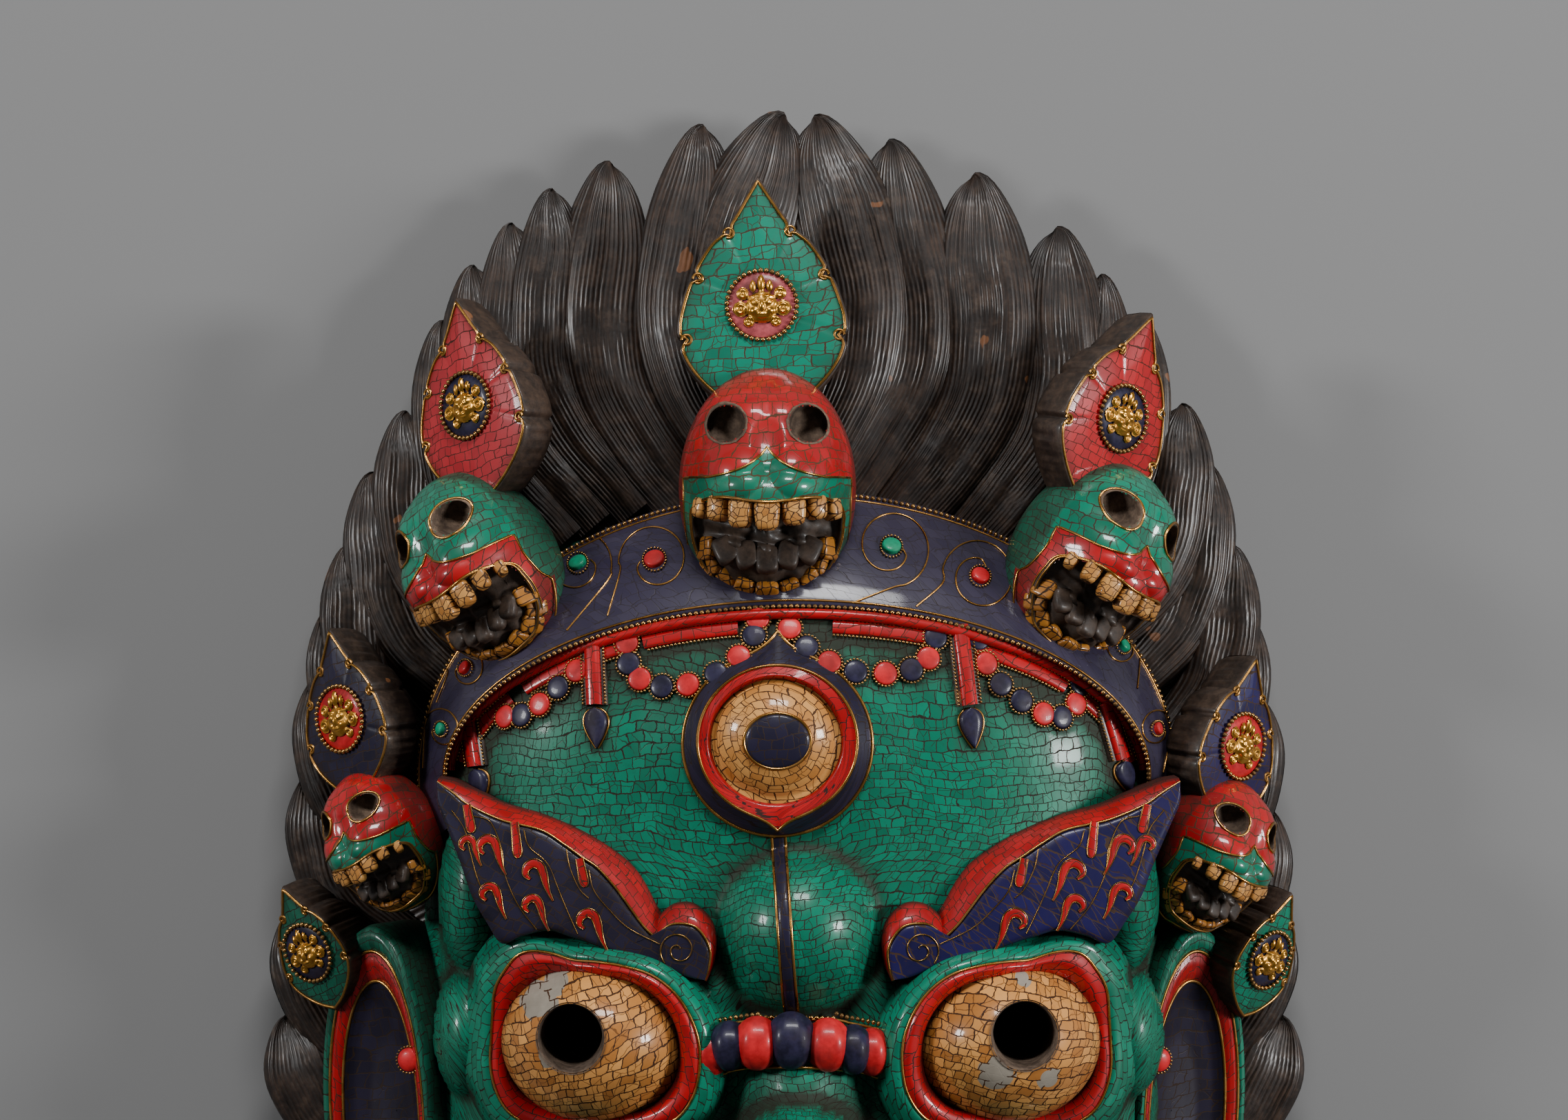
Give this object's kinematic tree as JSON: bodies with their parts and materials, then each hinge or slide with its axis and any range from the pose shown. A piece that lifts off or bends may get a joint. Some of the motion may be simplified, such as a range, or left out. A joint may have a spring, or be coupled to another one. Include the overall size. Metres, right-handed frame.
{
  "type": "carved wall mask",
  "caption": "Wide carved guardian mask lying face up, with a flame-haired crown of skulls and leaves, round eyes with pierced pupils, and a hollow back.",
  "frame": {"origin": "on the flat back, under the middle of the mask's outline", "axes": "+Z out of the face, +Y towards the crown, +X to the right as the face is looked at"},
  "size_m": [0.5808, 0.8242, 0.2341],
  "materials": {
    "carved_wood": "dark stained hair and edges under a clear lacquer; the face, leaves, skulls and band are inlaid with turquoise, coral red, dark blue and tan stone chips between brass wires",
    "gilt_metal": "gilt stamped relief, darkened in its hollows"
  },
  "bodies": {
    "root": {"carved_mask": "carved_wood", "gilt_face_top": "gilt_metal", "gilt_face_upper_left": "gilt_metal", "gilt_face_upper_right": "gilt_metal", "gilt_face_middle_left": "gilt_metal", "gilt_face_middle_right": "gilt_metal", "gilt_face_lower_left": "gilt_metal", "gilt_face_lower_right": "gilt_metal"}
  },
  "joints": []
}
